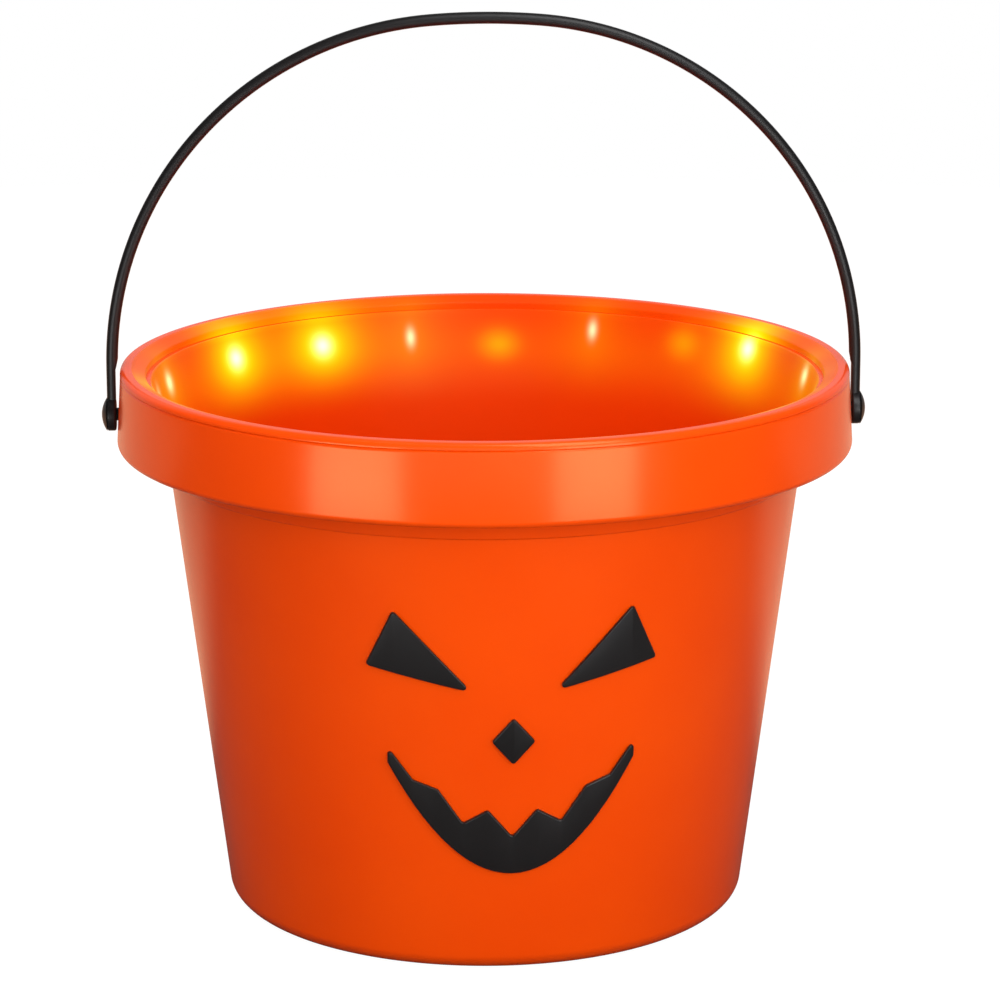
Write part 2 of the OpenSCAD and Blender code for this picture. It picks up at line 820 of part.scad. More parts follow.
module cells() {
    color("slategray") {
        translate([-cell_x, cell_y, pocket_z + plate_t + spring_l])
            cell();
        translate([cell_x, cell_y, pocket_z + plate_t + cell_l])
            rotate([180, 0, 0])
                cell();
    }
}

// The solder tab that takes a top plate's end into a side chamber.
module plate_tab(side, grow) {
    reach = cell_d / 2 + 2 * box_wall + wire_d;
    translate([side * (cell_x + reach / 2), cell_y, skirt_z - box_top_t - plate_t / 2])
        cube([reach + 2 * grow, 2 * wire_d + 2 * grow, plate_t + 2 * grow], center = true);
}

module contact_plates() {
    plate_w = cell_d - 2 * cell_gap;
    color("lightgray") {
        translate([0, cell_y, pocket_z + plate_t / 2])
            cube([pocket_w - 2 * cell_gap, plate_w, plate_t], center = true);
        for (side = [-1, 1]) {
            translate([side * cell_x, cell_y, skirt_z - box_top_t - plate_t / 2])
                cube([plate_w, plate_w, plate_t], center = true);
            plate_tab(side, 0);
        }
    }
}

// Rings of points round a route, each square to it.
function tube_ring(at, along, r, sides) =
    let (
        side = unit(cross(along, abs(along.z) > norm(along) / 2 ? [1, 0, 0] : [0, 0, 1])),
        up = unit(cross(side, along))
    )
    [for (k = [0:sides - 1]) at + r * (cos(360 * k / sides) * side + sin(360 * k / sides) * up)];

function route_way(route, i) = route[min(i + 1, len(route) - 1)] - route[max(i - 1, 0)];

// One unbroken tube along a route.
module tube(route, d, sides) {
    n = len(route);
    points = [for (i = [0:n - 1]) each tube_ring(route[i], route_way(route, i), d / 2, sides)];
    skin = [for (i = [0:n - 2], k = [0:sides - 1])
        let (a = i * sides + k, b = i * sides + (k + 1) % sides)
        each [[a, b, b + sides], [a, b + sides, a + sides]]];
    start = [for (k = [1:sides - 2]) [0, k + 1, k]];
    last = (n - 1) * sides;
    end = [for (k = [1:sides - 2]) [last, last + k, last + k + 1]];
    polyhedron(points, concat(skin, start, end));
}

// Places along a spring, from its first touch to its last.
function spring_route() =
    let (
        r = spring_d / 2 - spring_wire / 2,
        low = spring_wire / 2 + bore_gap,
        rise = spring_l - spring_wire - 2 * bore_gap,
        count = spring_turns * spring_steps
    )
    [for (i = [0:count]) let (turn = 360 * i / spring_steps)
        [r * cos(turn), r * sin(turn), low + rise * i / count]];

module contact_springs() {
    color("silver") {
        translate([-cell_x, cell_y, pocket_z + plate_t])
            tube(spring_route(), spring_wire, spring_sides);
        translate([cell_x, cell_y, pocket_z + plate_t + cell_l])
            tube(spring_route(), spring_wire, spring_sides);
    }
}

module circuit_board() {
    color("darkgreen")
        difference() {
            translate([board_x - board_w / 2, board_y, board_z])
                cube([board_w, board_t, board_l]);
            for (end = [board_post_d, board_l - board_post_d])
                translate([board_x, board_y - overrun, board_z + end])
                    rotate([-90, 0, 0])
                        cylinder(h = board_t + 2 * overrun, d = peg_d + 2 * bore_gap);
        }
}

module control_chip() {
    chip_t = board_t;
    color("dimgray")
        translate([board_x - chip_w / 2, board_y - chip_t, switch_z - chip_w])
            cube([chip_w, chip_t, chip_w]);
}

module switch_case() {
    case_y = board_y + board_t;
    color("dimgray")
        translate([board_x, 0, switch_z])
            difference() {
                translate([-switch_w / 2, case_y, -switch_h / 2])
                    cube([switch_w, board_post_h - snug_gap, switch_h]);
                translate([-stem_w / 2 - snug_gap, case_y + board_post_h / 2, -slot_h / 2])
                    cube([stem_w + 2 * snug_gap, board_post_h, slot_h]);
            }
}

module switch_knob() {
    stem_y = board_y + board_t + board_post_h / 2 + snug_gap;
    groove_y = dish_y + knob_proud - knob_groove;
    knob_step = knob_h / (2 * knob_ribs - 1);
    color(black)
        translate([board_x, 0, switch_z - knob_rest]) {
            translate([-stem_w / 2, stem_y, -stem_w / 2])
                cube([stem_w, dish_y + knob_proud / 2 - stem_y, stem_w]);
            difference() {
                translate([-knob_w / 2, dish_y + snug_gap, -knob_h / 2])
                    cube([knob_w, knob_proud - snug_gap, knob_h]);
                for (groove = [1:knob_ribs - 1])
                    translate([-knob_w, groove_y, (2 * groove - 1) * knob_step - knob_h / 2])
                        cube([2 * knob_w, knob_proud, knob_step]);
            }
        }
}

// Two wires from the board, up through the channel's floor, to the strip's end.
module strip_wires() {
    top_z = board_z + board_l;
    end_turn = atan2(wire_y, wire_x);
    end_r = strip_in_r - wire_d / 2 - bore_gap;
    for (side = [-1, 1]) {
        x = wire_x + side * (wire_d + bore_gap) / 2;
        end_x = end_r * cos(end_turn - side * split_turn);
        end_y = end_r * sin(end_turn - side * split_turn);
        color(side > 0 ? "red" : "black")
            tube([
                [x + side * wire_d / 2, board_y - wire_d / 2 - bore_gap, top_z - 3 * wire_d],
                [x + side * wire_d / 2, board_y - wire_d / 2 - bore_gap, top_z - wire_d],
                [x, board_y - wire_d, top_z + 2 * wire_d],
                [x, wire_y, skirt_z - 2 * wire_d],
                [x, wire_y, channel_z + wire_d],
                [(x + end_x) / 2, (wire_y + end_y) / 2, strip_z],
                [end_x, end_y, led_z]
            ], wire_d, wire_sides);
    }
}

// The two wires from the top plates' tabs to the board.
module cell_wires() {
    tab_z = skirt_z - box_top_t - plate_t - wire_d / 2 - bore_gap;
    tab_x = chamber_x + wire_d;
    top_z = board_z + board_l;
    pad_y = board_y - wire_d / 2 - bore_gap;
    color("red")
        tube([
            [-tab_x, cell_y, tab_z],
            [-tab_x, cell_y - wire_d, tab_z - 2 * wire_d],
            [-tab_x, pocket_front_y, notch_z + 2 * wire_d],
            [-tab_x + wire_d, notch_y, notch_z],
            [0, notch_y, notch_z],
            [tab_x - wire_d, notch_y, notch_z],
            [tab_x + wire_d, pocket_front_y, notch_z - wire_d],
            [tab_x + 3 * wire_d, pad_y, top_z - wire_d],
            [tab_x + 3 * wire_d, pad_y, top_z - 3 * wire_d]
        ], wire_d, wire_sides);
    color("black")
        tube([
            [tab_x, cell_y, tab_z],
            [tab_x, cell_y - wire_d, tab_z - 2 * wire_d],
            [tab_x, pad_y - wire_d, top_z + 2 * wire_d],
            [tab_x + wire_d, pad_y, top_z - wire_d],
            [tab_x + wire_d, pad_y, top_z - 3 * wire_d]
        ], wire_d, wire_sides);
}

tub();
channel_ring();
rim_cap();
bail();
bail_pin_left();
bail_pin_right();
left_eye();
right_eye();
nose();
mouth();
light_strip();
leds();
cell_box();
box_screws();
cell_door();
door_screw();
cells();
contact_plates();
contact_springs();
circuit_board();
control_chip();
switch_case();
switch_knob();
strip_wires();
cell_wires();
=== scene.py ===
"""Looks of the pumpkin candy pail, in metres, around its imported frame.

The camera comes first, then the shells, the face and the bail, then the materials, and last
the lights and the floor. The pins, the box behind the tub and all that is inside stay the
frame's own solids, with new materials.
"""

import json
import math

import bmesh
import bpy
from mathutils import Matrix, Vector


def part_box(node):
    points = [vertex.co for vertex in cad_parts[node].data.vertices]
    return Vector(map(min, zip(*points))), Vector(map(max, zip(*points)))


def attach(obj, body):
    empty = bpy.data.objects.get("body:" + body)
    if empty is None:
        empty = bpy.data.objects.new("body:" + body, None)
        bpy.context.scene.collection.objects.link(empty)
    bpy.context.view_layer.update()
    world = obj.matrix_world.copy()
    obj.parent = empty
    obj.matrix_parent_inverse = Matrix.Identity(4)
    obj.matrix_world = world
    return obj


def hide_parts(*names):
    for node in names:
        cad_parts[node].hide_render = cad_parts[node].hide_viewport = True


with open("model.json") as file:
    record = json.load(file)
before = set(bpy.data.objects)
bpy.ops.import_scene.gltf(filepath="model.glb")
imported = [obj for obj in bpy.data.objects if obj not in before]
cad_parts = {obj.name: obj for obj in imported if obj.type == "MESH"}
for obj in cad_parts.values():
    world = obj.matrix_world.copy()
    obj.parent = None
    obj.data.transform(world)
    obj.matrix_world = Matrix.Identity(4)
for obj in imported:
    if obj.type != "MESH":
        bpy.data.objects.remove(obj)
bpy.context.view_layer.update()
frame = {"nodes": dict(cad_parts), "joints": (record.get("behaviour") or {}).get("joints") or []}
nodes = frame["nodes"]

MM = 0.001

# Sizes that the frame gives
RING_LOW, RING_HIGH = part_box("channel_ring")
CAP_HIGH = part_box("rim_cap")[1]
TUB_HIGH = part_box("tub")[1]
RIM_R = CAP_HIGH.x
PAIL_H = CAP_HIGH.z
SKIRT_R = RING_HIGH.x
CAP_Z = RING_HIGH.z
COLLAR_Z = RING_LOW.z
TUB_TOP_Z = TUB_HIGH.z
FLANGE_R = TUB_HIGH.x
PIVOT = Vector(frame["joints"][0]["pos_m"])

# Sizes of the tub
BASE_R = 81.5 * MM
WALL = 2 * MM
SHOULDER_R = RIM_R - 14.5 * MM
SKIRT_Z = PAIL_H - 25 * MM
SHOULDER_Z = SKIRT_Z - 3.5 * MM
RING_IN_R = RIM_R - 8 * MM
MOUTH_R = RING_IN_R - 1.8 * MM
FLANGE_T = 1.8 * MM
FLOOR_T = 2.5 * MM
FOOT_H = 3 * MM
FOOT_W = 7 * MM
BASE_FILLET = 6 * MM
FLOOR_FILLET = 5 * MM
EDGE_R = 0.5 * MM
GATE_R = 2.5 * MM
GATE_DEPTH = 0.4 * MM
BEND_R = 90 * MM
SHOULDER_FILLET = 6 * MM

# Sizes of the cap and the channel ring
CAP_CORNER_R = 1.9 * MM
CAP_CORNER_START = 82
CREST_R = 3 * MM
SLOPE_W = 3.6 * MM
SLOPE_H = 2 * MM
CAP_EDGE_R = 0.9 * MM
LIP_T = 1.8 * MM
RIB_H = 2.5 * MM
RIB_T = 1.2 * MM
SKIRT_WALL = 2.2 * MM
SKIRT_FILLET = 2 * MM
SKIRT_TOP_R = 1.1 * MM
CHANNEL_FLOOR_T = 2 * MM
COLLAR_T = 1.2 * MM
COLLAR_R = 0.8 * MM
SEAT_GAP = 0.15 * MM

# Sizes of the bail
ROD_R = 1.85 * MM
ROD_X = RIM_R + 0.6 * MM + ROD_R
CROWN_H = 123.5 * MM
CROWN_R = 215 * MM
BAIL_SHOULDER_R = 108 * MM
EYELET_X = SKIRT_R + 0.3 * MM
EYELET_R = 5.2 * MM
EYELET_BORE_R = 2.05 * MM
EYELET_EDGE_R = 0.6 * MM
FLAT_H = 14 * MM
FLAT_RUN = 3 * MM

# Sizes of the face
FACE_TURN = math.radians(3)
GLUE_T = 0.1 * MM
FACE_T = 1.4 * MM
FACE_EDGE_R = 0.45 * MM
FACE_CORNER_R = 0.9 * MM
FACE_STRIP_W = 1.5 * MM
EYE_W, EYE_H, EYE_Z = 31 * MM, 25 * MM, 92 * MM
EYE_INSET, EYE_LIFT, EYE_PEAK_SHARE = 12.5 * MM, 7 * MM, 0.75
NOSE_W, NOSE_H, NOSE_Z = 13 * MM, 15 * MM, 76 * MM
MOUTH_W, MOUTH_Z, MOUTH_DROP, MOUTH_RISE = 74 * MM, 68 * MM, 35 * MM, 20 * MM
MOUTH_END_H, TOOTH_H, TEETH = 5 * MM, 8 * MM, 5

# Slopes and heights that follow from the sizes
TAPER = (SHOULDER_R - BASE_R) / SHOULDER_Z
FLARE_R = MOUTH_R + WALL
FLARE_Z = TUB_TOP_Z - FLANGE_T
FLARE = (FLARE_R - SHOULDER_R) / (FLARE_Z - SHOULDER_Z)
FLOOR_Z = FOOT_H + FLOOR_T

# Steps of the turned and the rounded forms
LATHE_STEPS = 288
ARC_STEPS = 6
FILLET_STEPS = 12
SKIRT_STEPS = 10
CAP_STEPS = 8
MOUTH_STEPS = 28
FACE_EDGE_STEPS = 4
CROWN_STEPS, SHOULDER_STEPS, LEG_STEPS = 20, 60, 40
ROD_SIDES = 32
EYELET_STEPS, EYELET_SIDES = 5, 96

# Edges sharper than this stay sharp, in degrees
SHELL_SHARP, FACE_SHARP, BAIL_SHARP = 35, 50, 40

# Limits of the outlines: a corner's share of its edges, the turn in radians that counts as
# straight, and the radius that counts as the axis
CORNER_SHARE = 0.48
STRAIGHT = 0.02
AXIS_R = 1e-7

# Camera, fitted to the photograph: its rim, seam, skirt and base edges
CAMERA_TURN = math.radians(2.5)
CAMERA_RISE = math.radians(13.97)
CAMERA_DISTANCE = 1254 * MM
CAMERA_AIM_Z = 127.2 * MM
CAMERA_AIM_RIGHT = 4.74 * MM
CAMERA_SENSOR = 36
CAMERA_FOCAL = 142.8


def make_camera():
    """The camera stands in front, a little to the left and 14 degrees up."""
    right = Vector((math.cos(CAMERA_TURN), -math.sin(CAMERA_TURN), 0))
    level = Vector((math.sin(CAMERA_TURN), math.cos(CAMERA_TURN), 0))
    ahead = level * math.cos(CAMERA_RISE) - Vector((0, 0, math.sin(CAMERA_RISE)))
    aim = Vector((0, 0, CAMERA_AIM_Z)) + right * CAMERA_AIM_RIGHT
    data = bpy.data.cameras.new("camera")
    data.sensor_width = CAMERA_SENSOR
    data.lens = CAMERA_FOCAL
    camera = bpy.data.objects.new("camera", data)
    bpy.context.scene.collection.objects.link(camera)
    up = right.cross(ahead)
    camera.matrix_world = Matrix.Translation(aim - ahead * CAMERA_DISTANCE) @ Matrix(
        (right, up, -ahead)).transposed().to_4x4()
    bpy.context.scene.camera = camera


# Outlines

def arc(centre, r, start, end, steps=ARC_STEPS):
    """Points of an arc about a centre, between two angles in degrees."""
    angles = [math.radians(start + (end - start) * i / steps) for i in range(steps + 1)]
    return [(centre[0] + r * math.cos(a), centre[1] + r * math.sin(a)) for a in angles]


def soften(corners, steps=ARC_STEPS):
    """A closed outline with its corners rounded: each corner is (x, y, radius)."""
    outline = []
    for i, (x, y, r) in enumerate(corners):
        at = Vector((x, y))
        before = Vector(corners[i - 1][:2]) - at
        after = Vector(corners[(i + 1) % len(corners)][:2]) - at
        u, v = before.normalized(), after.normalized()
        half = math.acos(max(-1, min(1, u.dot(v)))) / 2
        reach = CORNER_SHARE * min(before.length, after.length)
        fit = min(r, reach * math.tan(half))
        if r == 0 or math.pi - 2 * half < STRAIGHT:
            outline.append((x, y))
            continue
        centre = at + (u + v).normalized() * fit / math.sin(half)
        start = at + u * fit / math.tan(half) - centre
        end = at + v * fit / math.tan(half) - centre
        first = math.degrees(math.atan2(start.y, start.x))
        turn = math.degrees(math.atan2(end.y, end.x)) - first
        turn = (turn + 180) % 360 - 180
        outline += arc(centre, fit, first, first + turn, steps)
    return outline


def link(name, mesh, body="pail"):
    piece = bpy.data.objects.new(name, mesh)
    bpy.context.scene.collection.objects.link(piece)
    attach(piece, body)
    return piece


def smooth(mesh, angle):
    mesh.shade_smooth()
    mesh.set_sharp_from_angle(angle=math.radians(angle))


def mesh_from(bm, name, sharp=None):
    """The mesh that bmesh has built, smoothed where an angle is given."""
    mesh = bpy.data.meshes.new(name)
    bm.to_mesh(mesh)
    bm.free()
    if sharp:
        smooth(mesh, sharp)
    return mesh


def lathe_mesh(name, outline, steps=LATHE_STEPS):
    """A closed outline of (radius, height) turned about +Z."""
    bm = bmesh.new()
    rings = []
    for r, z in outline:
        if r < AXIS_R:
            rings.append([bm.verts.new((0, 0, z))] * steps)
            continue
        turns = [2 * math.pi * k / steps for k in range(steps)]
        rings.append([bm.verts.new((r * math.cos(a), r * math.sin(a), z)) for a in turns])
    pairs = list(zip(rings, rings[1:] + rings[:1]))
    for low, high in pairs:
        for k in range(steps):
            corners = [low[k], low[(k + 1) % steps], high[(k + 1) % steps], high[k]]
            unique = list(dict.fromkeys(corners))
            if len(unique) > 2:
                bm.faces.new(unique)
    bmesh.ops.recalc_face_normals(bm, faces=bm.faces)
    return mesh_from(bm, name, SHELL_SHARP)


def tub_out_r(z):
    """Outside radius of the tub's wall at a height."""
    if z < SHOULDER_Z:
        return BASE_R + TAPER * z
    return SHOULDER_R + FLARE * (z - SHOULDER_Z)


def tub_in_r(z):
    return tub_out_r(z) - WALL


# Shells

def tub_outline():
    slope = math.sqrt(1 + TAPER * TAPER)
    lean = math.degrees(math.atan(TAPER))
    out_x = BASE_R + TAPER * BASE_FILLET - BASE_FILLET * slope
    in_z = FLOOR_Z + FLOOR_FILLET
    in_x = BASE_R - WALL + TAPER * in_z - FLOOR_FILLET * slope
    foot_r = out_x - FOOT_W
    outer = arc((out_x, BASE_FILLET), BASE_FILLET, -90, -lean, FILLET_STEPS)
    walls = soften([
        (BASE_R + TAPER * SHOULDER_Z / 2, SHOULDER_Z / 2, 0),
        (SHOULDER_R, SHOULDER_Z, SHOULDER_FILLET),
        (FLARE_R, FLARE_Z, EDGE_R),
        (FLANGE_R, FLARE_Z, EDGE_R),
        (FLANGE_R, TUB_TOP_Z, EDGE_R),
        (MOUTH_R, TUB_TOP_Z, EDGE_R),
        (SHOULDER_R - WALL, SHOULDER_Z, BEND_R),
        (BASE_R - WALL + TAPER * SHOULDER_Z / 2, SHOULDER_Z / 2, 0),
    ])
    inner = arc((in_x, in_z), FLOOR_FILLET, -lean, -90, FILLET_STEPS)
    under = [
        (0, FLOOR_Z), (0, FOOT_H + GATE_DEPTH), (GATE_R, FOOT_H + GATE_DEPTH),
        (GATE_R + GATE_DEPTH, FOOT_H), (foot_r - EDGE_R, FOOT_H),
        *arc((foot_r + EDGE_R, EDGE_R), EDGE_R, 180, 270),
    ]
    return outer + walls + inner + under


def cap_outline():
    rib_r = RIM_R - SKIRT_WALL - SEAT_GAP
    corner = arc((RIM_R - CAP_CORNER_R, PAIL_H - CAP_CORNER_R), CAP_CORNER_R, CAP_CORNER_START, 0,
                 CAP_STEPS)
    return soften([
        (RING_IN_R, TUB_TOP_Z, 0),
        (RING_IN_R, PAIL_H - SLOPE_H, CAP_EDGE_R),
        (RING_IN_R + SLOPE_W, PAIL_H, CREST_R),
        (RIM_R - CAP_CORNER_R, PAIL_H, 0),
        *[(x, z, 0) for x, z in corner],
        (RIM_R, CAP_Z, 0),
        (rib_r, CAP_Z, 0),
        (rib_r, CAP_Z - RIB_H, 0),
        (rib_r - RIB_T, CAP_Z - RIB_H, 0),
        (rib_r - RIB_T, CAP_Z, 0),
        (RING_IN_R + LIP_T, CAP_Z, 0),
        (RING_IN_R + LIP_T, TUB_TOP_Z, 0),
    ], CAP_STEPS)


def ring_outline():
    collar_in_r = tub_out_r(COLLAR_Z) + SEAT_GAP
    channel_z = SKIRT_Z + CHANNEL_FLOOR_T
    neck_r = tub_out_r(SKIRT_Z) + SEAT_GAP + COLLAR_T
    top_x = RIM_R - SKIRT_TOP_R
    return (
        arc((collar_in_r + COLLAR_T - COLLAR_R, COLLAR_Z + COLLAR_R), COLLAR_R, -90, 0)
        + arc((neck_r + EDGE_R, SKIRT_Z - EDGE_R), EDGE_R, 180, 90)
        + arc((SKIRT_R - SKIRT_FILLET, SKIRT_Z + SKIRT_FILLET), SKIRT_FILLET, -90, 0, SKIRT_STEPS)
        + arc((top_x, CAP_Z - SKIRT_TOP_R), SKIRT_TOP_R, 0, 90, CAP_STEPS)
        + [(RIM_R - SKIRT_WALL, CAP_Z), (SKIRT_R - SKIRT_WALL, channel_z)]
        + [(tub_out_r(channel_z) + SEAT_GAP, channel_z)]
        + [(SHOULDER_R + SEAT_GAP, SHOULDER_Z), (collar_in_r, COLLAR_Z)]
    )


def make_shells():
    tub = link("tub_shell", lathe_mesh("tub_shell", tub_outline()))
    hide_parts("tub")
    cap = link("rim_cap_shell", lathe_mesh("rim_cap_shell", cap_outline()))
    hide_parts("rim_cap")
    ring = link("channel_ring_shell", lathe_mesh("channel_ring_shell", ring_outline()))
    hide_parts("channel_ring")
    return tub, cap, ring


# Face

def eye_outline(side):
    r = FACE_CORNER_R
    return soften([
        (side * EYE_INSET, EYE_Z, r),
        (side * (EYE_INSET + EYE_W), EYE_Z + EYE_LIFT, r),
        (side * (EYE_INSET + EYE_PEAK_SHARE * EYE_W), EYE_Z + EYE_H, r),
    ])


def nose_outline():
    r = FACE_CORNER_R
    return soften([
        (0, NOSE_Z - NOSE_H / 2, r), (NOSE_W / 2, NOSE_Z, r),
        (0, NOSE_Z + NOSE_H / 2, r), (-NOSE_W / 2, NOSE_Z, r),
    ])


def mouth_outline():
    def sag_share(x):
        return 1 - (2 * x / MOUTH_W) ** 2

    corners = []
    for i in range(MOUTH_STEPS + 1):
        x = MOUTH_W * (i / MOUTH_STEPS - 1 / 2)
        r = FACE_CORNER_R if i in (0, MOUTH_STEPS) else 0
        corners.append((x, MOUTH_Z - MOUTH_DROP * sag_share(x), r))
    bites = 2 * TEETH
    for i in range(bites + 1):
        x = MOUTH_W * (1 / 2 - i / bites)
        depth = MOUTH_RISE + (TOOTH_H if i % 2 else 0)
        corners.append((x, MOUTH_Z + MOUTH_END_H - depth * sag_share(x), FACE_CORNER_R))
    return soften(corners)


def face_mesh(name, outline):
    """A plate with a rounded front edge, cut into strips and laid round the tub."""
    bm = bmesh.new()
    back = bm.faces.new([bm.verts.new((x, 0, z)) for x, z in outline])
    raised = bmesh.ops.extrude_face_region(bm, geom=[back])["geom"]
    front_verts = [g for g in raised if isinstance(g, bmesh.types.BMVert)]
    bmesh.ops.translate(bm, vec=(0, FACE_T, 0), verts=front_verts)
    bmesh.ops.recalc_face_normals(bm, faces=bm.faces)
    front = set(front_verts)
    edges = [e for e in bm.edges if e.verts[0] in front and e.verts[1] in front]
    bmesh.ops.bevel(bm, geom=edges, offset=FACE_EDGE_R, segments=FACE_EDGE_STEPS,
                    profile=0.5, affect="EDGES", clamp_overlap=True)
    low = min(v.co.x for v in bm.verts)
    high = max(v.co.x for v in bm.verts)
    strips = math.ceil((high - low) / FACE_STRIP_W)
    for i in range(1, strips):
        bmesh.ops.bisect_plane(bm, geom=bm.verts[:] + bm.edges[:] + bm.faces[:],
                               plane_co=(low + (high - low) * i / strips, 0, 0), plane_no=(1, 0, 0))
    turn = Matrix.Rotation(FACE_TURN, 4, "Z")
    for v in bm.verts:
        r = tub_out_r(v.co.z) + GLUE_T + v.co.y
        v.co = turn @ Vector((v.co.x, -math.sqrt(r * r - v.co.x ** 2), v.co.z))
    bmesh.ops.recalc_face_normals(bm, faces=bm.faces)
    return mesh_from(bm, name, FACE_SHARP)


def make_face():
    outlines = {
        "left_eye": eye_outline(-1)[::-1],
        "right_eye": eye_outline(1),
        "nose": nose_outline(),
        "mouth": mouth_outline(),
    }
    pieces = []
    for node, outline in outlines.items():
        piece = link(node + "_plate", face_mesh(node + "_plate", outline))
        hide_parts(node)
        pieces.append(piece)
    return pieces


# Bail

def bail_path():
    """Points of the rod's middle with the way inwards, from the left eyelet to the right."""
    turn = math.asin((ROD_X - BAIL_SHOULDER_R) / (CROWN_R - BAIL_SHOULDER_R))
    shoulder_h = CROWN_H - CROWN_R + (CROWN_R - BAIL_SHOULDER_R) * math.cos(turn)
    half = []
    for i in range(CROWN_STEPS + 1):
        a = turn * i / CROWN_STEPS
        half.append((CROWN_R * math.sin(a), CROWN_H - CROWN_R + CROWN_R * math.cos(a), a))
    for i in range(1, SHOULDER_STEPS + 1):
        a = turn + (math.pi / 2 - turn) * i / SHOULDER_STEPS
        x = ROD_X - BAIL_SHOULDER_R + BAIL_SHOULDER_R * math.sin(a)
        half.append((x, shoulder_h + BAIL_SHOULDER_R * math.cos(a), a))
    for i in range(1, LEG_STEPS + 1):
        half.append((ROD_X, shoulder_h * (1 - i / LEG_STEPS), math.pi / 2))
    return [(-x, h, -a) for x, h, a in half[:0:-1]] + half


def rod_mesh(name):
    """The rod along its path, flattened beside the rim where it runs into the eyelets."""
    bm = bmesh.new()
    rings = []
    for x, h, a in bail_path():
        ring = []
        for k in range(ROD_SIDES):
            t = 2 * math.pi * k / ROD_SIDES
            out = ROD_R * math.cos(t)
            at = Vector((x + out * math.sin(a), ROD_R * math.sin(t), h + out * math.cos(a)))
            slope = (at.z - FLAT_H) / FLAT_RUN
            inside = EYELET_X - max(0, min(1, slope)) * (EYELET_X - ROD_X + ROD_R)
            if abs(at.x) > RIM_R - ROD_R and at.z < FLAT_H + FLAT_RUN:
                at.x = math.copysign(max(abs(at.x), inside), x)
            ring.append(bm.verts.new(at + PIVOT))
        rings.append(ring)
    for low, high in zip(rings, rings[1:]):
        for k in range(ROD_SIDES):
            after = (k + 1) % ROD_SIDES
            bm.faces.new([low[k], low[after], high[after], high[k]])
    bm.faces.new(rings[0][::-1])
    bm.faces.new(rings[-1])
    bmesh.ops.recalc_face_normals(bm, faces=bm.faces)
    return mesh_from(bm, name)


def eyelet_mesh(name, side):
    """A disc with a bore and rounded edges, turned about the pivots' line."""
    out_x = ROD_X + ROD_R
    outline = soften([
        (EYELET_BORE_R, 0, 0),
        (EYELET_R, 0, EYELET_EDGE_R),
        (EYELET_R, out_x - EYELET_X, EYELET_EDGE_R),
        (EYELET_BORE_R, out_x - EYELET_X, 0),
    ], EYELET_STEPS)
    mesh = lathe_mesh(name, outline, EYELET_SIDES)
    place = Matrix.Translation(PIVOT + Vector((side * EYELET_X, 0, 0)))
    mesh.transform(place @ Matrix.Rotation(side * math.pi / 2, 4, "Y"))
    return mesh


def apply_modifiers(piece):
    graph = bpy.context.evaluated_depsgraph_get()
    done = bpy.data.meshes.new_from_object(piece.evaluated_get(graph))
    piece.modifiers.clear()
    piece.data = done


def make_bail():
    bail = link("bail_rod", rod_mesh("bail_rod"), "bail")
    for side in (-1, 1):
        eyelet = bpy.data.objects.new("eyelet", eyelet_mesh("eyelet", side))
        bpy.context.scene.collection.objects.link(eyelet)
        join = bail.modifiers.new("eyelet", "BOOLEAN")
        join.operation = "UNION"
        join.solver = "EXACT"
        join.object = eyelet
        apply_modifiers(bail)
        bpy.data.objects.remove(eyelet)
    smooth(bail.data, BAIL_SHARP)
    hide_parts("bail")
    return bail


# Materials: nodes

def new_material(name):
    material = bpy.data.materials.new(name)
    material.use_nodes = True
    tree = material.node_tree
    tree.nodes.clear()
    shader = tree.nodes.new("ShaderNodeBsdfPrincipled")
    output = tree.nodes.new("ShaderNodeOutputMaterial")
    tree.links.new(shader.outputs["BSDF"], output.inputs["Surface"])
    return material, tree, shader


def feed(tree, socket, value):
    """A socket takes another node's output or a plain value."""
    if isinstance(value, bpy.types.NodeSocket):
        tree.links.new(value, socket)
    else:
        socket.default_value = value


def calc(tree, operation, *values):
    node = tree.nodes.new("ShaderNodeMath")
    node.operation = operation
    for socket, value in zip(node.inputs, values):
        feed(tree, socket, value)
    return node.outputs[0]


def vector_calc(tree, operation, *values):
    node = tree.nodes.new("ShaderNodeVectorMath")
    node.operation = operation
    for socket, value in zip(node.inputs, values):
        feed(tree, socket, value)
    return node.outputs


def mix_value(tree, factor, first, second):
    node = tree.nodes.new("ShaderNodeMix")
    feed(tree, node.inputs["Factor"], factor)
    feed(tree, node.inputs["A"], first)
    feed(tree, node.inputs["B"], second)
    return node.outputs["Result"]


def mix_colour(tree, factor, first, second, blend="MIX"):
    node = tree.nodes.new("ShaderNodeMix")
    node.data_type = "RGBA"
    node.blend_type = blend
    feed(tree, node.inputs["Factor"], factor)
    feed(tree, node.inputs["A"], first)
    feed(tree, node.inputs["B"], second)
    return node.outputs["Result"]


def point(tree):
    """The point's place in the frame's coordinates."""
    return tree.nodes.new("ShaderNodeTexCoord").outputs["Object"]


def split(tree, vector):
    """The X, Y and Z of a vector."""
    node = tree.nodes.new("ShaderNodeSeparateXYZ")
    tree.links.new(vector, node.inputs["Vector"])
    return node.outputs


def noise(tree, scale, detail, roughness=0.5):
    """Noise in the frame's coordinates; its scale is in waves a metre."""
    node = tree.nodes.new("ShaderNodeTexNoise")
    tree.links.new(point(tree), node.inputs["Vector"])
    node.inputs["Scale"].default_value = scale
    node.inputs["Detail"].default_value = detail
    node.inputs["Roughness"].default_value = roughness
    return node.outputs["Fac"]


# Most of a noise's values lie between these two
NOISE_LOW, NOISE_HIGH = 0.3, 0.7


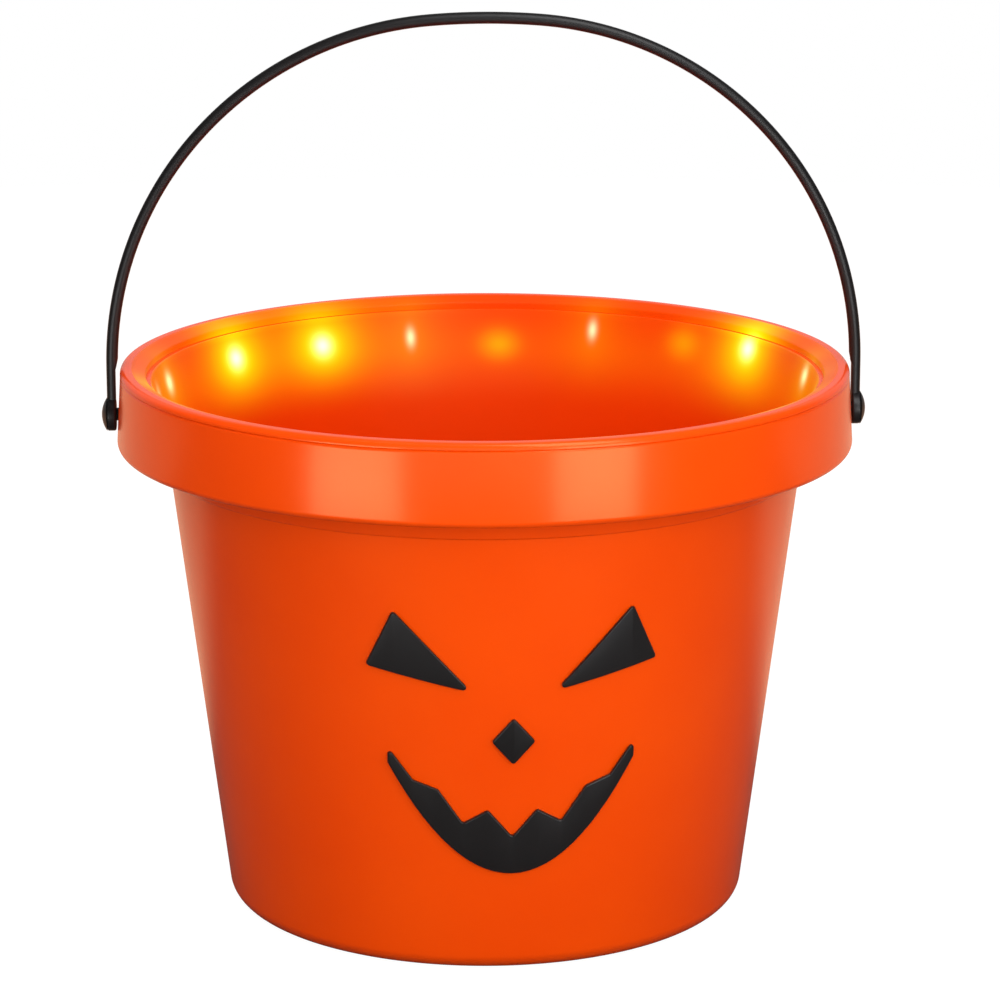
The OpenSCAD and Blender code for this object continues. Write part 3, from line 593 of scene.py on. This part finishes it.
def spread(tree, value, low, high, from_low=NOISE_LOW, from_high=NOISE_HIGH):
    """The range from from_low to from_high becomes low to high, and goes no further."""
    node = tree.nodes.new("ShaderNodeMapRange")
    feed(tree, node.inputs["Value"], value)
    node.inputs["From Min"].default_value = from_low
    node.inputs["From Max"].default_value = from_high
    node.inputs["To Min"].default_value = low
    node.inputs["To Max"].default_value = high
    return node.outputs["Result"]


def falloff(tree, distance, radius, power):
    """One at the middle, and less with the distance: power 1 is pointed and 2 is round."""
    share = calc(tree, "DIVIDE", distance, radius)
    return calc(tree, "EXPONENT", calc(tree, "MULTIPLY", calc(tree, "POWER", share, power), -1.0))


def linear(r, g, b):
    """A colour given as the screen shows it, from 0 to 255."""
    def one(c):
        c = c / 255
        return c / 12.92 if c <= 0.04045 else ((c + 0.055) / 1.055) ** 2.4
    return (one(r), one(g), one(b), 1)


# Moulded plastic

GRAIN = 0.12
GRAIN_DEPTH = 0.05 * MM
SPECULAR = 0.5
DRIFT_WAVES, DRIFT_DETAIL = 22, 3
WORN_WAVES, WORN_DETAIL, WORN_ROUGHNESS = 140, 4, 0.6
ROUGHNESS_DRIFT = 0.012
PIT_WAVES, PIT_DETAIL = 1700, 2
SWELL_WAVES, SWELL_DETAIL, SWELL_SHARE = 35, 1, 2.0


def moulded(name, light, dark, roughness, grain=GRAIN, specular=SPECULAR):
    """Moulded plastic: a slow colour drift, a finer roughness drift and a fine grain."""
    material, tree, shader = new_material(name)
    drift = noise(tree, DRIFT_WAVES, DRIFT_DETAIL)
    tree.links.new(mix_colour(tree, spread(tree, drift, 0, 1), light, dark),
                   shader.inputs["Base Color"])
    worn = noise(tree, WORN_WAVES, WORN_DETAIL, WORN_ROUGHNESS)
    tree.links.new(spread(tree, worn, roughness - ROUGHNESS_DRIFT, roughness + ROUGHNESS_DRIFT),
                   shader.inputs["Roughness"])
    pits = noise(tree, PIT_WAVES, PIT_DETAIL)
    swell = noise(tree, SWELL_WAVES, SWELL_DETAIL)
    bump = tree.nodes.new("ShaderNodeBump")
    bump.inputs["Strength"].default_value = grain
    bump.inputs["Distance"].default_value = GRAIN_DEPTH
    tree.links.new(calc(tree, "MULTIPLY_ADD", swell, SWELL_SHARE, pits), bump.inputs["Height"])
    tree.links.new(bump.outputs["Normal"], shader.inputs["Normal"])
    shader.inputs["Specular IOR Level"].default_value = specular
    return material, tree, shader


def recolour(tree, shader, factor, colour, blend="MIX"):
    """The base colour is mixed with another where the factor is one."""
    plain = shader.inputs["Base Color"].links[0].from_socket
    tree.links.new(mix_colour(tree, factor, plain, colour, blend), shader.inputs["Base Color"])


# Orange shells, and the painted glow of the lights that shine through them

ORANGE, ORANGE_DEEP = linear(244, 79, 3), linear(240, 74, 2)
# A darker, redder copy of the orange for the inside walls: painted shade inside the pail
SHADED_LIT_ORANGE, SHADED_LIT_ORANGE_DEEP = linear(231, 68, 3), linear(226, 64, 2)
SHELL_ROUGHNESS, SHELL_SPECULAR = 0.21, 0.4
LIT_ROUGHNESS, LIT_SPECULAR = 0.34, 0.1
BOX_ROUGHNESS, BOX_GRAIN, BOX_SPECULAR = 0.42, 0.3, 0.3
SHELL_GRAIN = 0.02
SHEEN = (1, 1, 0.47, 1)
# Painted shade for the band under the skirt's overhang, multiplied into the orange
BAND_SHADE = (0.97, 0.92, 0.9, 1)

# Each light's painted spot of glow on the wall inside: turn from the right-hand pivot in degrees,
# height in mm, strength of the white core, strength of the yellow halo, and how many times taller
# than wide it is.
SPOTS = [
    (7, 163.5, 0.5, 0.3, 1),
    (31, 164, 1, 1.55, 1),
    (47.5, 161.5, 0, 0.2, 0.8),
    (67, 162, 0.58, 0.12, 2.3),
    (85, 156.4, 0, 0.28, 0.8),
    (102, 159, 0.58, 0.14, 2.3),
    (120, 159, 1, 1.55, 1),
    (141, 160, 1, 1.6, 1),
    (167, 161, 0.58, 0.3, 1),
    (177, 161, 0.2, 0.1, 1),
    (193, 161, 0.9, 0.9, 1.1),
    (212, 160, 1, 1.05, 1.1),
    (229, 162, 0.55, 0.12, 2),
    (247, 160, 0, 0.28, 0.8),
    (266, 161, 0.6, 0.12, 2.1),
    (283, 160, 1, 1, 1.1),
    (301, 161, 0, 0.3, 0.8),
    (319, 162, 1, 1.05, 1.1),
    (337, 160, 0.5, 0.4, 1.3),
    (353, 161, 0.4, 0.3, 1),
]

# Reach of a painted glow spot's parts: a round core or a streak, the halo round a core or a soft
# spot, the haze
CORE_R = 2.9 * MM
STREAK_R = 1.45 * MM
STREAK_TALL = 1.5
HALO_R = 7 * MM
SOFT_R = 6 * MM
HAZE_R = 22 * MM

# What the painted glow's core, halo, haze and belt at the lights' height, and the painted light on
# the wall below, add to each colour
WHITE_GREEN, WHITE_BLUE = 1.45, 0.9
BRIGHT_RED = 0.4
HAZE_RED, HAZE_GREEN = 0.15, 0.005
BELT_RED, BELT_GREEN = 0.05, 0.035
DEEP_RED = 0.02

# Heights between which the painted glow grows: the spots' own, the lip's above it, and the deep
# wall's
GLOW_LOW, GLOW_HIGH = 134 * MM, 158 * MM
LIP_GAIN = 1.35
DEEP_LOW = 60 * MM
BELT_Z, BELT_H = 155 * MM, 9 * MM


def light_spots(tree, coords):
    """The painted glow of the lights behind the wall: soft haze, yellow halos and white cores."""
    haze, yellow, white = 0.0, 0.0, 0.0
    for turn, height, core, halo, tall in SPOTS:
        a, z = math.radians(turn), height * MM
        middle = (tub_in_r(z) * math.cos(a), tub_in_r(z) * math.sin(a), z)
        shift = vector_calc(tree, "SUBTRACT", coords, middle)[0]
        squeeze = vector_calc(tree, "MULTIPLY", shift, (1, 1, 1 / tall))[0]
        away = vector_calc(tree, "LENGTH", squeeze)["Value"]
        haze = calc(tree, "MULTIPLY_ADD", falloff(tree, away, HAZE_R, 2.0), min(1, halo * halo), haze)
        soft = falloff(tree, away, HALO_R, 1.0) if core else falloff(tree, away, SOFT_R, 2.0)
        yellow = calc(tree, "MULTIPLY_ADD", soft, halo, yellow)
        if core:
            glare = falloff(tree, away, STREAK_R if tall > STREAK_TALL else CORE_R, 2.0)
            white = calc(tree, "MULTIPLY_ADD", glare, core, white)
    return haze, yellow, white


# The inside wall's emission colour: the lights' painted glow, and painted light on the deep wall
# below them
def glow_colour(tree):
    coords = point(tree)
    haze, yellow, white = light_spots(tree, coords)
    height = split(tree, coords)["Z"]
    low = spread(tree, height, 0, 1, GLOW_LOW, GLOW_HIGH)
    low.node.interpolation_type = "SMOOTHSTEP"
    belt = falloff(tree, calc(tree, "ABSOLUTE", calc(tree, "SUBTRACT", height, BELT_Z)), BELT_H, 2.0)
    deep = spread(tree, height, 0, 1, DEEP_LOW, GLOW_HIGH)
    lip = spread(tree, height, 1, LIP_GAIN, FLARE_Z, TUB_TOP_Z)
    haze = calc(tree, "MULTIPLY", haze, low)
    yellow = calc(tree, "MULTIPLY", calc(tree, "MULTIPLY", yellow, low), lip)
    bright = calc(tree, "MULTIPLY_ADD", white, WHITE_GREEN, yellow)
    red = calc(tree, "MULTIPLY_ADD", haze, HAZE_RED, calc(tree, "MULTIPLY", bright, BRIGHT_RED))
    red = calc(tree, "MULTIPLY_ADD", belt, BELT_RED, red)
    green = calc(tree, "MULTIPLY_ADD", belt, BELT_GREEN, bright)
    colour = tree.nodes.new("ShaderNodeCombineColor")
    feed(tree, colour.inputs["Red"], calc(tree, "MULTIPLY_ADD", deep, DEEP_RED, red))
    feed(tree, colour.inputs["Green"], calc(tree, "MULTIPLY_ADD", haze, HAZE_GREEN, green))
    feed(tree, colour.inputs["Blue"], calc(tree, "MULTIPLY", white, WHITE_BLUE))
    return colour.outputs["Color"]


def shell_material():
    """The shells' orange, darker as painted shade in the band under the skirt, from the collar's
    lower edge to the skirt's bottom.
    """
    material, tree, shader = moulded("orange_shell", ORANGE, ORANGE_DEEP, SHELL_ROUGHNESS,
                                     SHELL_GRAIN, SHELL_SPECULAR)
    shader.inputs["Specular Tint"].default_value = SHEEN
    height = split(tree, point(tree))["Z"]
    above = spread(tree, height, 0, 1, COLLAR_Z - EDGE_R, COLLAR_Z + EDGE_R)
    below = spread(tree, height, 1, 0, SKIRT_Z, SKIRT_Z + SKIRT_FILLET / 2)
    recolour(tree, shader, calc(tree, "MULTIPLY", above, below), BAND_SHADE, "MULTIPLY")
    return material


def lit_material():
    """The shells' orange inside the pail: a darker, redder copy as painted shade, with the glow of
    the lights that shine through it painted on as emission.
    """
    material, tree, shader = moulded("orange_lit", SHADED_LIT_ORANGE, SHADED_LIT_ORANGE_DEEP, LIT_ROUGHNESS,
                                     SHELL_GRAIN, LIT_SPECULAR)
    shader.inputs["Specular Tint"].default_value = SHEEN
    tree.links.new(glow_colour(tree), shader.inputs["Emission Color"])
    shader.inputs["Emission Strength"].default_value = 1.0
    return material


# Black plastic, wires, metals and the other plastics

BLACK, BLACK_DEEP = linear(22, 23, 25), linear(17, 18, 20)
BLACK_GRAIN, BLACK_SPECULAR = 0.2, 0.45
BAIL_ROUGHNESS, FACE_ROUGHNESS = 0.42, 0.36
WIRE_RED, WIRE_RED_DEEP = linear(190, 30, 24), linear(170, 24, 20)
WIRE_BLACK = linear(24, 24, 26)
WIRE_ROUGHNESS = 0.4
STAIN_WAVES, STAIN_DETAIL, STAIN_SHADE = 900, 3, 0.8
POLISH_WAVES, POLISH_DETAIL, POLISH_DRIFT = 2600, 2, 0.08
FRAME_SHARP = 30

# The frame's own solids in plastic: light and dark colour on the screen, roughness, nodes
PLASTICS = {
    "board_green": ((20, 92, 48), (14, 76, 40), 0.35, ["circuit_board"]),
    "chip_black": ((40, 40, 42), (30, 30, 32), 0.5, ["control_chip", "switch_case"]),
    "strip_film": ((235, 228, 205), (225, 216, 190), 0.4, ["light_strip"]),
    "light_lens": ((255, 222, 120), (255, 205, 90), 0.12, ["leds"]),
    "cell_case": ((58, 62, 70), (48, 52, 60), 0.3, ["cells"]),
}

# In metal: colour, roughness, nodes
METALS = {
    "screw_steel": ((0.6, 0.6, 0.62), 0.3, ["box_screws", "door_screw"]),
    "contact_metal": ((0.75, 0.73, 0.68), 0.22, ["contact_plates", "contact_springs"]),
}

# Pairs of wires: the slant of the plane between the two, how far out it lies, and from which X
# the wire beyond it is black
WIRES = {
    "strip_wire": (0, -23.2 * MM, 0, ["strip_wires"]),
    "cell_wire": (1, 88.65 * MM, 12.5 * MM, ["cell_wires"]),
}


def black_material(name, roughness):
    return moulded(name, BLACK, BLACK_DEEP, roughness, BLACK_GRAIN, BLACK_SPECULAR)[0]


def wire_material(name, slant, beyond, start):
    """Smooth insulation: red, and black on the wire that lies beyond a plane and past a start."""
    material, tree, shader = moulded(name, WIRE_RED, WIRE_RED_DEEP, WIRE_ROUGHNESS)
    at = split(tree, point(tree))
    apart = calc(tree, "SUBTRACT", calc(tree, "MULTIPLY", at["Y"], slant), at["X"])
    over = calc(tree, "GREATER_THAN", apart, beyond)
    second = calc(tree, "MULTIPLY", over, calc(tree, "GREATER_THAN", at["X"], start))
    recolour(tree, shader, second, WIRE_BLACK)
    return material


def metal(name, colour, roughness):
    material, tree, shader = new_material(name)
    shader.inputs["Metallic"].default_value = 1
    stained = tuple(c * STAIN_SHADE for c in colour)
    stain = spread(tree, noise(tree, STAIN_WAVES, STAIN_DETAIL), 0, 1)
    tree.links.new(mix_colour(tree, stain, (*colour, 1), (*stained, 1)), shader.inputs["Base Color"])
    polish = noise(tree, POLISH_WAVES, POLISH_DETAIL)
    tree.links.new(spread(tree, polish, roughness - POLISH_DRIFT, roughness + POLISH_DRIFT),
                   shader.inputs["Roughness"])
    return material


# Painting

LEDGE_RISE = 0.9


def paint(piece, *materials):
    piece.data.materials.clear()
    for material in materials:
        piece.data.materials.append(material)


def paint_inside(piece, plain, lit):
    """The floor's top and the faces that look at the tub's axis take the lit material, with its
    painted shade and painted glow.
    """
    paint(piece, plain, lit)
    for face in piece.data.polygons:
        inwards = face.normal.x * face.center.x + face.normal.y * face.center.y
        away = math.hypot(face.center.x, face.center.y)
        inside = face.center.z > FLOOR_Z - FLOOR_T / 2
        ledge = face.normal.z > LEDGE_RISE and away < RING_IN_R
        near = away < RING_IN_R + SLOPE_W + CREST_R and inwards < 0
        face.material_index = 1 if inside and (ledge or near) else 0


def paint_nodes(material, names):
    """The frame's own solids keep their meshes: only slots and shading change."""
    for name in names:
        paint(nodes[name], material)
        smooth(nodes[name].data, FRAME_SHARP)


def paint_pail(tub, cap, ring, face, bail):
    shell, lit = shell_material(), lit_material()
    paint_inside(tub, shell, lit)
    paint_inside(cap, shell, lit)
    paint(ring, shell)
    face_black = black_material("face_black", FACE_ROUGHNESS)
    for piece in face:
        paint(piece, face_black)
    black = black_material("black_plastic", BAIL_ROUGHNESS)
    paint(bail, black)
    paint_nodes(black, ["bail_pin_left", "bail_pin_right", "switch_knob"])
    box = moulded("orange_box", ORANGE, ORANGE_DEEP, BOX_ROUGHNESS, BOX_GRAIN, BOX_SPECULAR)[0]
    paint_nodes(box, ["cell_box", "cell_door"])
    for name, (light, dark, roughness, names) in PLASTICS.items():
        paint_nodes(moulded(name, linear(*light), linear(*dark), roughness)[0], names)
    for name, (colour, roughness, names) in METALS.items():
        paint_nodes(metal(name, colour, roughness), names)
    for name, (slant, beyond, start, names) in WIRES.items():
        paint_nodes(wire_material(name, slant, beyond, start), names)


# Lights and floor

AMBIENT = 0.87
AMBIENT_TINT = (1, 0.74, 0.64, 1)
WHITE = (1, 1, 1, 1)

# What the gloss sees: a backdrop that grows from dark in front to pale behind
STUDIO_FRONT, STUDIO_BACK = 0.02, 0.45
STUDIO_FROM, STUDIO_TO = 0.45, 0.7

TABLE_R = 1.4
TABLE_SIDES = 64
TABLE_COLOUR = (0.12, 0.12, 0.12, 1)
TABLE_ROUGHNESS = 0.9
TABLE_LIFT = 0.96

# The floor far behind the pail is bright in the gloss at the pail's edges
SHINE = 0.8
SHINE_TINT = (1, 0.5, 0.28, 1)
SHINE_LEAN = 0.06
SHINE_NEAR, SHINE_FAR = 100 * MM, 200 * MM

# Soft boxes: turn to the right of the camera's side, rise, width and height, all in degrees as
# the pail sees them, the level, and whether the box shows in the gloss only or shades only
BOX_DISTANCE = 0.6
BOXES = {
    "right_box": (31, -4, 23, 36, 5.3, True),
    "left_box": (-36, -7, 26, 20, 5.3, True),
    "edge_box": (31, 52, 22, 44, 5, True),
    "key_box": (13, 9, 70, 34, 2.8, False),
    "top_box": (0, 80, 60, 50, 1.4, False),
    "back_box": (180, 15, 70, 50, 1.2, False),
}


def make_world():
    """White to the camera, an even light on the pail, and a pale backdrop to its gloss."""
    world = bpy.data.worlds.new("world")
    bpy.context.scene.world = world
    world.use_nodes = True
    tree = world.node_tree
    tree.nodes.clear()
    output = tree.nodes.new("ShaderNodeOutputWorld")
    back = tree.nodes.new("ShaderNodeBackground")
    path = tree.nodes.new("ShaderNodeLightPath").outputs
    way = split(tree, tree.nodes.new("ShaderNodeTexCoord").outputs["Generated"])
    studio = spread(tree, way["Y"], STUDIO_FRONT, STUDIO_BACK, STUDIO_FROM, STUDIO_TO)
    mirrored = calc(tree, "MAXIMUM", path["Is Glossy Ray"], path["Is Transmission Ray"])
    level = mix_value(tree, mirrored, AMBIENT, studio)
    feed(tree, back.inputs["Strength"], mix_value(tree, path["Is Camera Ray"], level, 1.0))
    seen = calc(tree, "MAXIMUM", path["Is Camera Ray"], mirrored)
    feed(tree, back.inputs["Color"], mix_colour(tree, seen, AMBIENT_TINT, WHITE))
    tree.links.new(back.outputs["Background"], output.inputs["Surface"])


def floor_material():
    material, tree, shader = new_material("floor")
    shader.inputs["Base Color"].default_value = TABLE_COLOUR
    shader.inputs["Roughness"].default_value = TABLE_ROUGHNESS
    shader.inputs["Specular IOR Level"].default_value = 0
    path = tree.nodes.new("ShaderNodeLightPath").outputs
    feed(tree, shader.inputs["Emission Color"],
         mix_colour(tree, path["Is Glossy Ray"], WHITE, SHINE_TINT))
    seen = calc(tree, "MULTIPLY", path["Is Camera Ray"], TABLE_LIFT)
    at = split(tree, point(tree))
    behind = calc(tree, "MULTIPLY_ADD", at["X"], SHINE_LEAN, at["Y"])
    shine = spread(tree, behind, 0, SHINE, SHINE_NEAR, SHINE_FAR)
    feed(tree, shader.inputs["Emission Strength"],
         calc(tree, "MULTIPLY_ADD", path["Is Glossy Ray"], shine, seen))
    return material


def make_floor():
    bm = bmesh.new()
    bmesh.ops.create_circle(bm, cap_ends=True, segments=TABLE_SIDES, radius=TABLE_R)
    floor = bpy.data.objects.new("floor", mesh_from(bm, "floor"))
    bpy.context.scene.collection.objects.link(floor)
    floor.data.materials.append(floor_material())


def soft_box(name, turn, rise, width, height, level, gloss):
    a, e = math.radians(turn) - CAMERA_TURN, math.radians(rise)
    way = Vector((math.sin(a) * math.cos(e), -math.cos(a) * math.cos(e), math.sin(e)))
    data = bpy.data.lights.new(name, "AREA")
    data.shape = "RECTANGLE"
    data.size = 2 * BOX_DISTANCE * math.tan(math.radians(width / 2))
    data.size_y = 2 * BOX_DISTANCE * math.tan(math.radians(height / 2))
    data.energy = level * math.pi * data.size * data.size_y
    light = bpy.data.objects.new(name, data)
    bpy.context.scene.collection.objects.link(light)
    light.location = Vector((0, 0, SKIRT_Z)) + way * BOX_DISTANCE
    light.rotation_euler = (-way).to_track_quat("-Z", "Y").to_euler()
    light.visible_camera = False
    light.visible_diffuse = not gloss
    light.visible_glossy = gloss


make_camera()
paint_pail(*make_shells(), make_face(), make_bail())
make_world()
make_floor()
for box_name, box_values in BOXES.items():
    soft_box(box_name, *box_values)
bpy.context.scene.view_settings.view_transform = "Standard"
